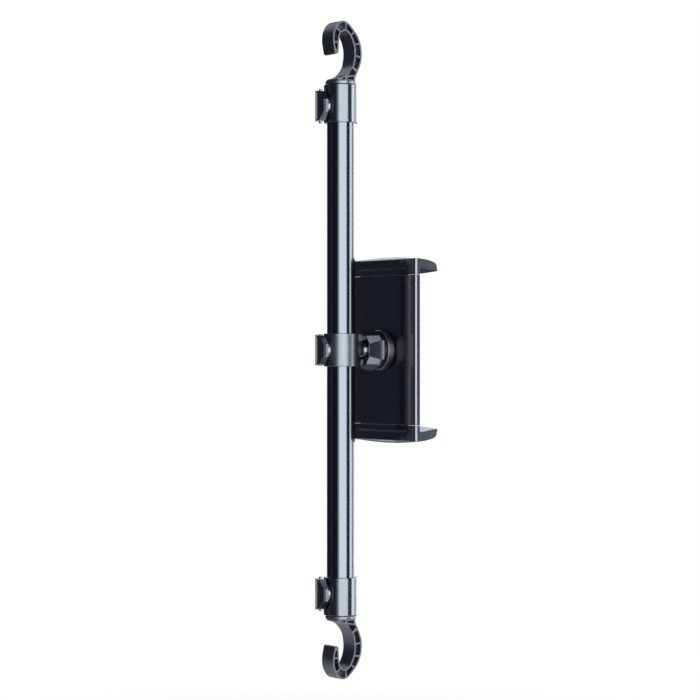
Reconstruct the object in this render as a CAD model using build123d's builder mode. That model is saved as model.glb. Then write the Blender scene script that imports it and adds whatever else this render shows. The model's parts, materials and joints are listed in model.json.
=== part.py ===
from build123d import *
from math import cos, radians, sin, sqrt
import os

os.makedirs("parts", exist_ok=True)

# Headrest tablet mount, rod upright: +Z along the rod, the tablet faces -Y, X across the tablet.
# The origin is the middle of the rod on its axis. Sizes are in millimetres.

# Fits
run_gap = 0.05
slip_gap = 0.3
face_gap = 0.1

# Rod: an outer tube, and an inner tube that telescopes out of each end
tube_r = 13.0
tube_wall = 1.5
tube_half = 236.4
inner_wall = 1.3
glide_wall = 0.45
inner_length = 214.0
glide_length = 24.0
glide_lip = 3.0

# Collars
collar_r = 16.0
collar_end = 244.4
collar_height = 33.3
collar_edge = 0.6
mid_height = 30.4
liner_wall = 1.2
liner_slot = 2.0
lip_height = 1.4

# Clamp knobs, turned about the rod by knob_clock
knob_clock = 18.0
knob_z = 224.6
boss_r = 9.5
boss_reach = 16.8
screw_r = 3.0
insert_wall = 1.2
pad_recess = 1.5
knob_flat = 13.6
knob_taper = 4.0
knob_grip = 7.4
knob_shoulder = 5.9
knob_rim = 4.5
grip_half = 1.0
grip_half_length = 14.2
pocket_inset = 1.7
pocket_floor = 2.4
lug_half = 2.4
lug_thick = 2.1
lug_from = 1.6
end_lug = 15.8
mid_lug = 14.6
socket_depth = 3.6

# Hooks
hook_width = 18.0
hook_rim = 2.0
hook_web = 2.4
hook_rib = 1.5
flange_height = 2.8
flange_groove = 0.5
plug_length = 22.0
bight_r = 6.3
bight_y = 1.4
bight_rise = 42.3
rivet_r = 1.6

# Ball joint
ball_r = 8.5
ball_reach = 27.7
neck_r = 4.75
stud_pad_r = 8.5
stud_pad_reach = 17.2
stud_head_r = 6.0
stud_head = 1.0
ball_gap = 0.1
nut_mouth = 21.2
nut_back = 38.8
nut_flat = 16.7
nut_corner_r = 19.4
nut_rim_r = 17.9
nut_chamfer = 11.5
nut_lobes = 5
nut_hole_r = 9.5
nut_hole_reach = 25.4
collet_r = 12.6
collet_slots = 6
collet_slot = 1.6
flange_r = 18.7
flange_front = 41.2
seat_wall = 1.7
seat_gap = 0.3
seat_span = 50.0
seat_room_span = 66.0

# Tablet holder
back_reach = 44.5
front_reach = 52.5
holder_half = 51.6
body_half = 69.2
panel_half = 22.0
shoulder_y = 46.9
side_round = 3.0
wall = 1.7
front_thick = 2.0
seam = 0.35
crown_z = 85.6
lip_reach = 72.7
lip_tip_z = 73.7
lip_root_z = 76.9
tongue_half = 36.0
tongue_back = 47.7
tongue_front = 50.3
rail = 1.5
tongue_end = 9.0
slot_half = 4.0
slot_top = 52.0
groove_half = 36.0
groove_z = 75.2
groove_height = 2.0
groove_depth = 2.2
spring_r = 1.4
spring_wire = 0.6
post_r = 0.8
pad_thick = 1.0
cover_screw_x = 45.0
cover_screw_z = 58.0
cover_screw_r = 1.3
cover_head_r = 2.4
socket_screw_r = 1.2
socket_screw_ring = 15.4
socket_head_r = 2.2
socket_head = 0.9
cover_head = 1.2
lip_corner = 3.0
lip_pad_half = 46.0
front_pad_half = 44.0
front_pad_height = 62.0
jaw_pin_z = 50.5
anchor_z = 5.5
post_bite = 3.0

# Worked out from the sizes above
tube_bore_r = tube_r - tube_wall
inner_r = tube_bore_r - glide_wall - run_gap
inner_bore_r = inner_r - inner_wall
collar_bore_r = inner_r + run_gap
collar_base = collar_end - collar_height
liner_r = tube_r + run_gap + liner_wall
liner_half = mid_height / 2 - lip_height - face_gap
flange_top = collar_end + flange_groove + flange_height
inner_base = collar_end + flange_groove - inner_length
insert_r = screw_r + run_gap + insert_wall
knob_back = boss_reach + slip_gap
inner_back = back_reach + wall
cavity_front = front_reach - front_thick
clock = Vector(sin(radians(knob_clock)), cos(radians(knob_clock)), 0)


def keep(piece, name):
    """Labels a finished piece and writes it to its own file."""
    piece.part.label = name
    export_step(piece.part, f"parts/{name}.step")


def clamp_plane(height, reach=0.0):
    """A plane across a clamp screw's axis, its x along the rod and its z away from the rod."""
    origin = clock * reach + Vector(0, 0, height)
    return Plane(origin=origin, x_dir=(0, 0, 1), z_dir=clock)


def holder_plane(reach):
    """A plane across the ball joint's axis, its z away from the rod and its y up."""
    return Plane(origin=(0, -reach, 0), x_dir=(1, 0, 0), z_dir=(0, -1, 0))


def flipped(name):
    """The lower twin of an upper piece, mirrored about the middle of the rod."""
    with BuildPart() as twin:
        mirror(name.part, about=Plane.XY)
    return twin


# Outer tube, drilled at each end so that a clamp pad can reach the inner tube
with BuildPart() as outer_tube:
    with BuildSketch(Plane.XY.offset(-tube_half)):
        Circle(tube_r)
        Circle(tube_bore_r, mode=Mode.SUBTRACT)
    extrude(amount=2 * tube_half)
    for height in (knob_z, -knob_z):
        with BuildSketch(clamp_plane(height)):
            Circle(screw_r + slip_gap)
        extrude(amount=tube_r + 1, mode=Mode.SUBTRACT)
keep(outer_tube, "outer_tube")

# End collar: a stepped sleeve glued over the tube's end, with a boss for its clamp screw
with BuildPart() as upper_collar:
    with BuildSketch(Plane.XY.offset(collar_base)):
        Circle(collar_r)
    extrude(amount=collar_height)
    with BuildSketch(clamp_plane(knob_z)):
        Circle(boss_r)
    extrude(amount=boss_reach)
    chamfer(upper_collar.edges().filter_by(GeomType.CIRCLE).group_by(Axis.Z)[0], length=collar_edge)
    chamfer(upper_collar.edges().filter_by(GeomType.CIRCLE).group_by(Axis.Z)[-1], length=collar_edge)
    with BuildSketch(Plane.XY.offset(collar_base)):
        Circle(tube_r)
    extrude(amount=tube_half - collar_base, mode=Mode.SUBTRACT)
    with BuildSketch(Plane.XY.offset(collar_base)):
        Circle(collar_bore_r)
    extrude(amount=collar_height, mode=Mode.SUBTRACT)
    with BuildSketch(clamp_plane(knob_z)):
        Circle(insert_r)
    extrude(amount=boss_reach + 1, mode=Mode.SUBTRACT)
lower_collar = flipped(upper_collar)
keep(upper_collar, "upper_collar")
keep(lower_collar, "lower_collar")


def clamp_insert(height, seat):
    """The threaded brass insert of a clamp, from its seat out to the face of the boss."""
    with BuildPart() as insert:
        with BuildSketch(clamp_plane(height, seat)):
            Circle(insert_r)
            Circle(screw_r + run_gap, mode=Mode.SUBTRACT)
        extrude(amount=boss_reach - seat)
    return insert


def clamp_pad(height, surface, depth):
    """The soft pad at a screw's tip, hollowed to the tube that it presses on."""
    with BuildPart() as pad:
        with BuildSketch(clamp_plane(height)):
            Circle(screw_r)
        extrude(amount=surface + depth)
        with BuildSketch(Plane.XY.offset(height - 2 * screw_r)):
            Circle(surface + face_gap)
        extrude(amount=4 * screw_r, mode=Mode.SUBTRACT)
        with BuildSketch(clamp_plane(height, surface + depth)):
            Circle(screw_r - 1)
        extrude(amount=pad_recess - 0.4)
    return pad


def clamp_screw(height, tip):
    """The clamp screw, from its pad into the knob, with a blind hole for the pad's peg."""
    with BuildPart() as screw:
        with BuildSketch(clamp_plane(height, tip)):
            Circle(screw_r)
        extrude(amount=knob_back + socket_depth - tip)
        chamfer(screw.edges().filter_by(GeomType.CIRCLE), length=0.5)
        with BuildSketch(clamp_plane(height, tip)):
            Circle(screw_r - 1 + run_gap)
        extrude(amount=pad_recess, mode=Mode.SUBTRACT)
    return screw


def clamp_knob(height, lug_reach):
    """An octagonal thumb knob with a raised grip across it and a dished pocket on each side."""
    back = clamp_plane(height, knob_back)
    across = Plane(origin=back.origin, x_dir=back.y_dir, z_dir=back.x_dir)
    with BuildPart() as knob:
        with BuildSketch(back):
            RegularPolygon(knob_flat, 8, major_radius=False, rotation=22.5)
        extrude(amount=knob_shoulder, taper=knob_taper)
        with BuildSketch(across) as gable:
            for side in (1, -1):
                with BuildLine():
                    Polyline(
                        (side * grip_half, -knob_shoulder),
                        (side * (knob_flat + 1), -knob_rim),
                        (side * (knob_flat + 1), -knob_grip),
                        (side * grip_half, -knob_grip),
                        close=True,
                    )
                make_face()
        extrude(amount=2 * knob_flat, both=True, mode=Mode.SUBTRACT)
        with BuildSketch(back.offset(pocket_floor)):
            RegularPolygon(knob_flat - pocket_inset, 8, major_radius=False, rotation=22.5)
            Rectangle(2 * knob_flat, 2 * (grip_half + 0.5), mode=Mode.SUBTRACT)
        extrude(amount=knob_grip, mode=Mode.SUBTRACT)
        with BuildSketch(back):
            Rectangle(2 * grip_half_length, 2 * grip_half)
        extrude(amount=knob_grip)
        with BuildSketch(back.offset(lug_from)):
            Rectangle(2 * lug_reach, 2 * lug_half)
            Circle(knob_flat - 1, mode=Mode.SUBTRACT)
        extrude(amount=lug_thick)
        with BuildSketch(back):
            Circle(screw_r + 1.6)
        extrude(amount=socket_depth + 1.4)
        with BuildSketch(back):
            Circle(screw_r)
        extrude(amount=socket_depth, mode=Mode.SUBTRACT)
    return knob


clamps = {
    "upper": (knob_z, inner_r, tube_r + 1.2, end_lug),
    "middle": (0.0, liner_r, liner_r + 1.0, mid_lug),
    "lower": (-knob_z, inner_r, tube_r + 1.2, end_lug),
}
for place, (height, surface, tip, lug_reach) in clamps.items():
    keep(clamp_insert(height, tip), f"{place}_insert")
    keep(clamp_pad(height, surface, tip - surface), f"{place}_clamp_pad")
    keep(clamp_screw(height, tip), f"{place}_clamp_screw")
    keep(clamp_knob(height, lug_reach), f"{place}_knob")

# Inner tube and the glide that guides its inner end in the outer tube
with BuildPart() as upper_inner_tube:
    with BuildSketch(Plane.XY.offset(inner_base)):
        Circle(inner_r)
        Circle(inner_bore_r, mode=Mode.SUBTRACT)
    extrude(amount=inner_length)
    with BuildSketch(Plane.YZ):
        with Locations((0, collar_end - plug_length / 2)):
            Circle(rivet_r)
    extrude(amount=tube_r, both=True, mode=Mode.SUBTRACT)
with BuildPart() as upper_glide:
    with BuildSketch(Plane.XY.offset(inner_base - glide_lip - face_gap)):
        Circle(tube_bore_r - run_gap)
        Circle(inner_bore_r - 1, mode=Mode.SUBTRACT)
    extrude(amount=glide_lip)
    with BuildSketch(Plane.XY.offset(inner_base - glide_lip - face_gap)):
        Circle(tube_bore_r - run_gap)
        Circle(inner_r + run_gap, mode=Mode.SUBTRACT)
    extrude(amount=glide_length)

# Hook outline on the rod's Y-Z plane, as a height over the flange for each point
tip_height = 26.6
stem_foot = -9.6
toe_y = 10.2
bight_z = flange_top + bight_rise
bight_end = 150.0
bight_last = (
    bight_y + bight_r * cos(radians(bight_end)),
    bight_z + bight_r * sin(radians(bight_end)),
)
with BuildSketch(Plane.YZ.offset(-hook_width / 2)) as hook_outline:
    with BuildLine():
        Line((stem_foot, flange_top), (stem_foot, flange_top + 4.5))
        for start, middle, end in (
            ((stem_foot, 4.5), (-13.9, 13.8), (-17.3, 31.5)),
            ((-17.3, 31.5), (-9.2, 50.2), (2.7, 57.1)),
            ((2.7, 57.1), (12.4, 50.6), (15.7, 41.0)),
            ((15.7, 41.0), (15.5, 36.0), (14.4, 31.2)),
        ):
            ThreePointArc(*((y, flange_top + rise) for y, rise in (start, middle, end)))
        Line((14.4, flange_top + 31.2), (12.6, flange_top + tip_height + 0.6))
        ThreePointArc(
            (12.6, flange_top + tip_height + 0.6),
            (10.3, flange_top + tip_height - 0.4),
            (8.9, flange_top + tip_height + 1.4),
        )
        Line((8.9, flange_top + tip_height + 1.4), (bight_y + bight_r, bight_z))
        CenterArc((bight_y, bight_z), bight_r, 0, bight_end)
        ThreePointArc(bight_last, (-8.3, flange_top + 36.4), (-9.4, flange_top + 27.5))
        ThreePointArc((-9.4, flange_top + 27.5), (-6.4, flange_top + 15.8), (1.0, flange_top + 8.2))
        Line((1.0, flange_top + 8.2), (9.0, flange_top + 4.6))
        ThreePointArc(
            (9.0, flange_top + 4.6),
            (10.3, flange_top + 3.4),
            (toe_y, flange_top + 1.6),
        )
        Line((toe_y, flange_top + 1.6), (toe_y, flange_top))
        Line((toe_y, flange_top), (stem_foot, flange_top))
    make_face()

# Ribs: the place on the outline's middle line and the way each rib runs
rib_places = (
    (11.9, 37.6, 2),
    (10.3, 47.6, 39),
    (2.2, 53.0, 90),
    (-6.2, 47.4, 132),
    (-12.4, 36.6, 166),
    (-13.4, 28.6, 176),
    (-12.2, 20.6, 152),
    (-9.2, 12.6, 148),
    (-3.6, 3.2, 90),
    (-5.4, 7.6, 12),
)
with BuildSketch(Plane.YZ) as hook_pockets:
    add(hook_outline.sketch_local)
    offset(amount=-hook_rim, mode=Mode.REPLACE)
    for y, rise, turn in rib_places:
        with Locations((y, flange_top + rise)):
            Rectangle(22, hook_rib, rotation=turn, mode=Mode.SUBTRACT)

# Hook: one moulding, an I-section with ribs, a flange over the collar and a plug in the tube
with BuildPart() as upper_hook:
    with BuildSketch(Plane.XY.offset(collar_end + flange_groove)):
        Circle(collar_r - 0.2)
    extrude(amount=flange_height)
    chamfer(upper_hook.edges().filter_by(GeomType.CIRCLE).group_by(Axis.Z)[-1], length=0.7)
    add(hook_outline.sketch)
    extrude(amount=hook_width, dir=(1, 0, 0))
    with BuildSketch(Plane.XY.offset(collar_end + flange_groove - plug_length)):
        Circle(inner_bore_r - face_gap)
        Circle(inner_bore_r - 2.2, mode=Mode.SUBTRACT)
    extrude(amount=plug_length)
    with BuildSketch(Plane.YZ):
        with Locations((0, collar_end - plug_length / 2)):
            Circle(rivet_r)
    extrude(amount=tube_r, both=True, mode=Mode.SUBTRACT)
    for side in (1, -1):
        side_pockets = hook_pockets.sketch.moved(Pos(side * hook_web / 2, 0, 0))
        extrude(side_pockets, amount=hook_width, dir=(side, 0, 0), mode=Mode.SUBTRACT)

# Rivet through the inner tube and the hook's plug, its ends flush with the tube
with BuildPart() as upper_rivet:
    with BuildSketch(Plane.YZ):
        with Locations((0, collar_end - plug_length / 2)):
            Circle(rivet_r)
    extrude(amount=inner_r, both=True)
    with BuildSketch(Plane.XY.offset(collar_end - plug_length)):
        Circle(inner_r)
    extrude(amount=plug_length, mode=Mode.INTERSECT)

for piece, name in (
    (upper_inner_tube, "inner_tube"),
    (upper_glide, "glide"),
    (upper_hook, "hook"),
    (upper_rivet, "hook_rivet"),
):
    lower_twin = flipped(piece)
    keep(piece, f"upper_{name}")
    keep(lower_twin, f"lower_{name}")

# Split liner of the middle collar, which slides along the rod
with BuildPart() as collar_liner:
    with BuildSketch(Plane.XY.offset(-liner_half)):
        Circle(liner_r)
        Circle(tube_r + run_gap, mode=Mode.SUBTRACT)
        with Locations((tube_r, 0)):
            Rectangle(4 * liner_wall, liner_slot, mode=Mode.SUBTRACT)
    extrude(amount=2 * liner_half)
keep(collar_liner, "collar_liner")

# Middle collar: knob boss on one side, ball stud pad on the other
stud_seat = liner_r + face_gap + stud_head + face_gap
with BuildPart() as middle_collar:
    with BuildSketch(Plane.XY.offset(-mid_height / 2)):
        Circle(collar_r)
    extrude(amount=mid_height)
    with BuildSketch(clamp_plane(0)):
        Circle(boss_r)
    extrude(amount=boss_reach)
    with BuildSketch(holder_plane(0)):
        Circle(stud_pad_r)
    extrude(amount=stud_pad_reach)
    chamfer(middle_collar.edges().filter_by(GeomType.CIRCLE).group_by(Axis.Z)[0], length=collar_edge)
    chamfer(middle_collar.edges().filter_by(GeomType.CIRCLE).group_by(Axis.Z)[-1], length=collar_edge)
    with BuildSketch(Plane.XY.offset(-mid_height / 2)):
        Circle(tube_r + slip_gap)
    extrude(amount=mid_height, mode=Mode.SUBTRACT)
    with BuildSketch(Plane.XY.offset(-liner_half - face_gap)):
        Circle(liner_r + run_gap)
    extrude(amount=2 * (liner_half + face_gap), mode=Mode.SUBTRACT)
    with BuildSketch(clamp_plane(0)):
        Circle(insert_r)
    extrude(amount=boss_reach + 1, mode=Mode.SUBTRACT)
    with BuildSketch(holder_plane(0)):
        Circle(stud_head_r)
    extrude(amount=stud_seat, mode=Mode.SUBTRACT)
    with BuildSketch(holder_plane(0)):
        Circle(neck_r)
    extrude(amount=stud_pad_reach + 1, mode=Mode.SUBTRACT)
keep(middle_collar, "middle_collar")

# Ball stud: a turned piece whose head sits inside the collar's wall
neck_join = ball_reach - sqrt(ball_r**2 - (neck_r - 0.6) ** 2)
with BuildPart() as ball_stud:
    with BuildSketch(Plane.XY):
        with BuildLine():
            Polyline(
                (0, -(stud_seat - stud_head)),
                (stud_head_r, -(stud_seat - stud_head)),
                (stud_head_r, -stud_seat),
                (neck_r, -stud_seat),
                (neck_r, -stud_pad_reach),
            )
            ThreePointArc(
                (neck_r, -stud_pad_reach),
                (neck_r - 0.9, -(stud_pad_reach + neck_join) / 2),
                (neck_r - 0.6, -neck_join),
            )
            ThreePointArc(
                (neck_r - 0.6, -neck_join),
                (ball_r, -ball_reach),
                (0, -(ball_reach + ball_r)),
            )
            Line((0, -(ball_reach + ball_r)), (0, -(stud_seat - stud_head)))
        make_face()
    revolve(axis=Axis.Y, revolution_arc=360)
keep(ball_stud, "ball_stud")

# Slotted socket on the holder's back, whose fingers close on the ball
cup_r = ball_r + ball_gap
finger_tip = nut_hole_reach + 0.6
with BuildPart() as ball_socket:
    with BuildSketch(holder_plane(flange_front)):
        Circle(flange_r)
    extrude(amount=back_reach - flange_front)
    chamfer(ball_socket.edges().group_by(Axis.Y)[-1], length=0.8)
    with BuildSketch(holder_plane(finger_tip)):
        Circle(collet_r)
    extrude(amount=flange_front - finger_tip)
    with BuildSketch(Plane.XY):
        with BuildLine():
            Line((0, -ball_reach - cup_r), (0, -ball_reach + cup_r))
            CenterArc((0, -ball_reach), cup_r, -90, 180)
        make_face()
    revolve(axis=Axis.Y, revolution_arc=360, mode=Mode.SUBTRACT)
    with BuildSketch(Plane.XY):
        with BuildLine():
            room = CenterArc((0, -ball_reach), cup_r + seat_wall + seat_gap, -90, seat_room_span)
            Polyline(room @ 1, (0, -ball_reach), room @ 0)
        make_face()
    revolve(axis=Axis.Y, revolution_arc=360, mode=Mode.SUBTRACT)
    for turn in range(collet_slots):
        with BuildSketch(holder_plane(finger_tip - 1)):
            with PolarLocations(0, 1, start_angle=turn * 360 / collet_slots):
                Rectangle(2 * collet_r, collet_slot, align=(Align.MIN, Align.CENTER))
        extrude(amount=9.0, mode=Mode.SUBTRACT)
    with BuildSketch(holder_plane(back_reach)):
        with PolarLocations(socket_screw_ring, 3, start_angle=90):
            Circle(socket_screw_r)
    extrude(amount=-(back_reach - flange_front - 0.6), mode=Mode.SUBTRACT)
keep(ball_socket, "ball_socket")

# Liner cup behind the ball, round about the same centre
with BuildPart() as ball_seat:
    with BuildSketch(Plane.XY):
        with BuildLine():
            inside = CenterArc((0, -ball_reach), cup_r, -90, seat_span)
            outside = CenterArc((0, -ball_reach), cup_r + seat_wall, -90, seat_span)
            Line(inside @ 0, outside @ 0)
            Line(inside @ 1, outside @ 1)
        make_face()
    revolve(axis=Axis.Y, revolution_arc=360)
keep(ball_seat, "ball_seat")

# Lobed nut: a five-sided prism with its front corners turned to a cone
with BuildPart() as ball_nut:
    with BuildSketch(holder_plane(nut_mouth)):
        RegularPolygon(nut_flat, nut_lobes, major_radius=False, rotation=180 + 180 / nut_lobes)
    extrude(amount=nut_back - nut_mouth)
    with BuildSketch(Plane.XY):
        with BuildLine():
            Polyline(
                (0, -nut_mouth),
                (nut_rim_r - 0.8, -nut_mouth),
                (nut_rim_r, -nut_mouth - 0.8),
                (nut_corner_r, -nut_mouth - nut_chamfer),
                (nut_corner_r, -nut_back + 4.2),
                (nut_flat - 0.4, -nut_back),
                (0, -nut_back),
                close=True,
            )
        make_face()
    revolve(axis=Axis.Y, revolution_arc=360, mode=Mode.INTERSECT)
    with BuildSketch(Plane.XY):
        with BuildLine():
            Polyline(
                (0, -nut_mouth + 1),
                (nut_rim_r - 0.6, -nut_mouth + 1),
                (nut_rim_r - 1.6, -nut_mouth),
                (nut_hole_r, -nut_hole_reach),
                (nut_hole_r, -nut_hole_reach - 0.5),
                (collet_r + run_gap, -nut_hole_reach - 0.5),
                (collet_r + run_gap, -nut_back - 1),
                (0, -nut_back - 1),
                close=True,
            )
        make_face()
    revolve(axis=Axis.Y, revolution_arc=360, mode=Mode.SUBTRACT)
keep(ball_nut, "ball_nut")


def holder_section(grow=0.0):
    """The holder's plan outline, with a flat middle panel and sloping sides, grown inwards."""
    half = holder_half - grow
    back = back_reach + grow
    shoulder = shoulder_y + grow
    corner = side_round - grow
    with BuildSketch(Plane.XY) as section:
        with BuildLine():
            Polyline(
                (-half, -front_reach),
                (-half, -shoulder - corner),
                (-half + corner, -shoulder),
                (-panel_half, -back),
                (panel_half, -back),
                (half - corner, -shoulder),
                (half, -shoulder - corner),
                (half, -front_reach),
                close=True,
            )
        make_face()
    return section.sketch


# Back cover: the shell that carries the ball socket, closed by the front cover
with BuildPart() as back_cover:
    add(holder_section().moved(Pos(0, 0, -body_half)))
    extrude(amount=2 * body_half, dir=(0, 0, 1))
    side_edges = back_cover.edges().filter_by(Axis.Z).group_by(Axis.Y)[-2]
    fillet(side_edges, radius=2.4)
    chamfer(back_cover.faces().sort_by(Axis.Z)[-1].edges().group_by(Axis.Y)[1:], length=0.3)
    chamfer(back_cover.faces().sort_by(Axis.Z)[0].edges().group_by(Axis.Y)[1:], length=0.3)
    add(holder_section(wall).moved(Pos(0, 0, -body_half)))
    extrude(amount=2 * body_half, dir=(0, 0, 1), mode=Mode.SUBTRACT)
    with BuildSketch(holder_plane(shoulder_y + 0.4)):
        with GridLocations(2 * cover_screw_x, 2 * cover_screw_z, 2, 2):
            Circle(cover_head_r + 0.9)
    extrude(amount=cavity_front - shoulder_y - 0.4)
    with BuildSketch(holder_plane(shoulder_y)):
        with GridLocations(2 * (tongue_half + slip_gap) + rail, 0, 2, 1):
            Rectangle(rail, 2 * body_half)
    extrude(amount=cavity_front - shoulder_y)
    with BuildSketch(holder_plane(shoulder_y + 1.4)):
        with GridLocations(2 * cover_screw_x, 2 * cover_screw_z, 2, 2):
            Circle(cover_screw_r)
    extrude(amount=front_reach, mode=Mode.SUBTRACT)
    with BuildSketch(holder_plane(back_reach)):
        with PolarLocations(socket_screw_ring, 3, start_angle=90):
            Circle(socket_screw_r)
    extrude(amount=wall, mode=Mode.SUBTRACT)
    with BuildSketch(holder_plane(back_reach + wall - socket_head)):
        with PolarLocations(socket_screw_ring, 3, start_angle=90):
            Circle(socket_head_r)
    extrude(amount=socket_head, mode=Mode.SUBTRACT)
keep(back_cover, "back_cover")

# Front cover: a flat plate let in between the shell's side walls
with BuildPart() as front_cover:
    with BuildSketch(holder_plane(cavity_front)):
        Rectangle(2 * (holder_half - wall - run_gap), 2 * body_half)
    extrude(amount=front_thick)
    with BuildSketch(holder_plane(cavity_front)):
        with GridLocations(2 * cover_screw_x, 2 * cover_screw_z, 2, 2):
            Circle(cover_screw_r)
    extrude(amount=front_thick, mode=Mode.SUBTRACT)
    with BuildSketch(holder_plane(front_reach - cover_head)):
        with GridLocations(2 * cover_screw_x, 2 * cover_screw_z, 2, 2):
            Circle(cover_head_r)
    extrude(amount=cover_head, mode=Mode.SUBTRACT)
keep(front_cover, "front_cover")

with BuildPart() as cover_screws:
    with BuildSketch(holder_plane(shoulder_y + 1.4)):
        with GridLocations(2 * cover_screw_x, 2 * cover_screw_z, 2, 2):
            Circle(cover_screw_r)
    extrude(amount=front_reach - cover_head - shoulder_y - 1.4)
    with BuildSketch(holder_plane(front_reach - cover_head)):
        with GridLocations(2 * cover_screw_x, 2 * cover_screw_z, 2, 2):
            Circle(cover_head_r)
    extrude(amount=cover_head)
keep(cover_screws, "cover_screws")

with BuildPart() as socket_screws:
    with BuildSketch(holder_plane(flange_front + 0.6)):
        with PolarLocations(socket_screw_ring, 3, start_angle=90):
            Circle(socket_screw_r)
    extrude(amount=inner_back - socket_head - flange_front - 0.6)
    with BuildSketch(holder_plane(inner_back - socket_head)):
        with PolarLocations(socket_screw_ring, 3, start_angle=90):
            Circle(socket_head_r)
    extrude(amount=socket_head)
keep(socket_screws, "socket_screws")

# Rubber pad that the tablet's back lies on, over the cover's screws
with BuildPart() as front_pad:
    with BuildSketch(holder_plane(front_reach)):
        RectangleRounded(2 * front_pad_half, 2 * front_pad_height, 6)
    extrude(amount=pad_thick)
    chamfer(front_pad.faces().sort_by(Axis.Y)[0].edges(), length=0.4)
keep(front_pad, "front_pad")

# Jaw: a crowned cap with a lip over the tablet's edge and a forked tongue in the shell
cap_base = body_half + seam
spring_y = (tongue_back + tongue_front) / 2
with BuildPart() as upper_jaw:
    with BuildSketch(Plane.YZ.offset(-holder_half)):
        with BuildLine():
            Polyline(
                (-front_reach, cap_base),
                (-back_reach, cap_base),
                (-back_reach, crown_z - 1.2),
                (-back_reach - 1.4, crown_z - 0.1),
            )
            ThreePointArc(
                (-back_reach - 1.4, crown_z - 0.1),
                (-lip_reach + 14.2, crown_z - 1.0),
                (-lip_reach + 3.2, lip_tip_z + 8.6),
            )
            ThreePointArc(
                (-lip_reach + 3.2, lip_tip_z + 8.6),
                (-lip_reach + 1.8, lip_tip_z + 7.9),
                (-lip_reach + 1.0, lip_tip_z + 6.6),
            )
            Line((-lip_reach + 1.0, lip_tip_z + 6.6), (-lip_reach, lip_tip_z + 0.6))
            ThreePointArc(
                (-lip_reach, lip_tip_z + 0.6),
                (-lip_reach + 0.3, lip_tip_z),
                (-lip_reach + 1.0, lip_tip_z),
            )
            Line((-lip_reach + 1.0, lip_tip_z), (-front_reach - 1.0, lip_root_z))
            ThreePointArc(
                (-front_reach - 1.0, lip_root_z),
                (-front_reach - 0.3, lip_root_z - 0.3),
                (-front_reach, lip_root_z - 1.0),
            )
            Line((-front_reach, lip_root_z - 1.0), (-front_reach, cap_base))
        make_face()
    extrude(amount=2 * holder_half)
    with BuildSketch(Plane.XY.offset(cap_base)) as plan:
        add(holder_section())
        with BuildLine():
            Polyline(
                (-holder_half, -front_reach),
                (-holder_half, -lip_reach + lip_corner),
                (-holder_half + lip_corner, -lip_reach),
                (holder_half - lip_corner, -lip_reach),
                (holder_half, -lip_reach + lip_corner),
                (holder_half, -front_reach),
                close=True,
            )
        make_face()
    extrude(amount=crown_z - cap_base, mode=Mode.INTERSECT)
    back_edges = upper_jaw.edges().filter_by(Axis.Z)
    fillet(back_edges.filter_by_position(Axis.Y, -shoulder_y - side_round - 0.1, -shoulder_y + 0.1), radius=2.4)
    with BuildSketch(holder_plane(back_reach - 1)):
        with Locations((0, groove_z)):
            SlotOverall(2 * groove_half, groove_height)
    extrude(amount=1 + groove_depth, mode=Mode.SUBTRACT)
    with BuildSketch(holder_plane(tongue_back)):
        with Locations((0, (cap_base + tongue_end) / 2)):
            Rectangle(2 * tongue_half, cap_base - tongue_end)
        with Locations((0, (slot_top + tongue_end) / 2)):
            Rectangle(2 * slot_half, slot_top - tongue_end, mode=Mode.SUBTRACT)
    extrude(amount=tongue_front - tongue_back)
    with BuildSketch(Plane.YZ):
        with Locations((-spring_y, jaw_pin_z)):
            Circle(post_r)
    extrude(amount=slot_half + post_bite, both=True, mode=Mode.SUBTRACT)

# Pin across the fork for the spring's outer end, and the shell's pin for its inner end
with BuildPart() as upper_jaw_pin:
    with BuildSketch(Plane.YZ.offset(-slot_half - post_bite)):
        with Locations((-spring_y, jaw_pin_z)):
            Circle(post_r)
    extrude(amount=2 * (slot_half + post_bite))
with BuildPart() as upper_anchor_pin:
    with BuildSketch(holder_plane(inner_back)):
        with Locations((0, anchor_z)):
            Circle(post_r)
    extrude(amount=cavity_front - inner_back)

# Return spring between the two pins, as the sleeve that its close coils make
spring_low = anchor_z + post_r
with BuildPart() as upper_spring:
    with BuildSketch(Plane.XY.offset(spring_low)):
        with Locations((0, -spring_y)):
            Circle(spring_r)
            Circle(spring_r - spring_wire, mode=Mode.SUBTRACT)
    extrude(amount=jaw_pin_z - post_r - spring_low)

# Rubber strip under the lip
lip_slope = (lip_root_z - lip_tip_z) / (lip_reach - 1.0 - front_reach - 1.0)
with BuildPart() as upper_lip_pad:
    with BuildSketch(Plane.YZ.offset(-lip_pad_half)):
        with BuildLine():
            near = front_reach + 2.2
            far = lip_reach - 2.4
            near_z = lip_root_z - lip_slope * (near - front_reach - 1.0)
            far_z = lip_root_z - lip_slope * (far - front_reach - 1.0)
            Polyline((-near, near_z), (-far, far_z), (-far, far_z - pad_thick), (-near, near_z - pad_thick), close=True)
        make_face()
    extrude(amount=2 * lip_pad_half)
    chamfer(upper_lip_pad.edges().filter_by(Axis.X).group_by(Axis.Z)[0], length=0.4)

for piece, name in (
    (upper_jaw, "jaw"),
    (upper_jaw_pin, "jaw_pin"),
    (upper_anchor_pin, "anchor_pin"),
    (upper_spring, "spring"),
    (upper_lip_pad, "lip_pad"),
):
    lower_twin = flipped(piece)
    keep(piece, f"upper_{name}")
    keep(lower_twin, f"lower_{name}")
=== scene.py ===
"""Looks of a headrest tablet mount: surfaces, detailed pieces, studio and camera.

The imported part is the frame. The object stands upright: +Z runs along the rod, the tablet faces -Y
and the hooks open towards +Y. Sizes in this file are in millimetres unless a name says otherwise.
"""

from __future__ import annotations

import json
import logging
import math
from collections.abc import Iterable, Sequence
from dataclasses import dataclass
from enum import Enum

import bmesh
import bpy
from mathutils import Matrix, Vector

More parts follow.
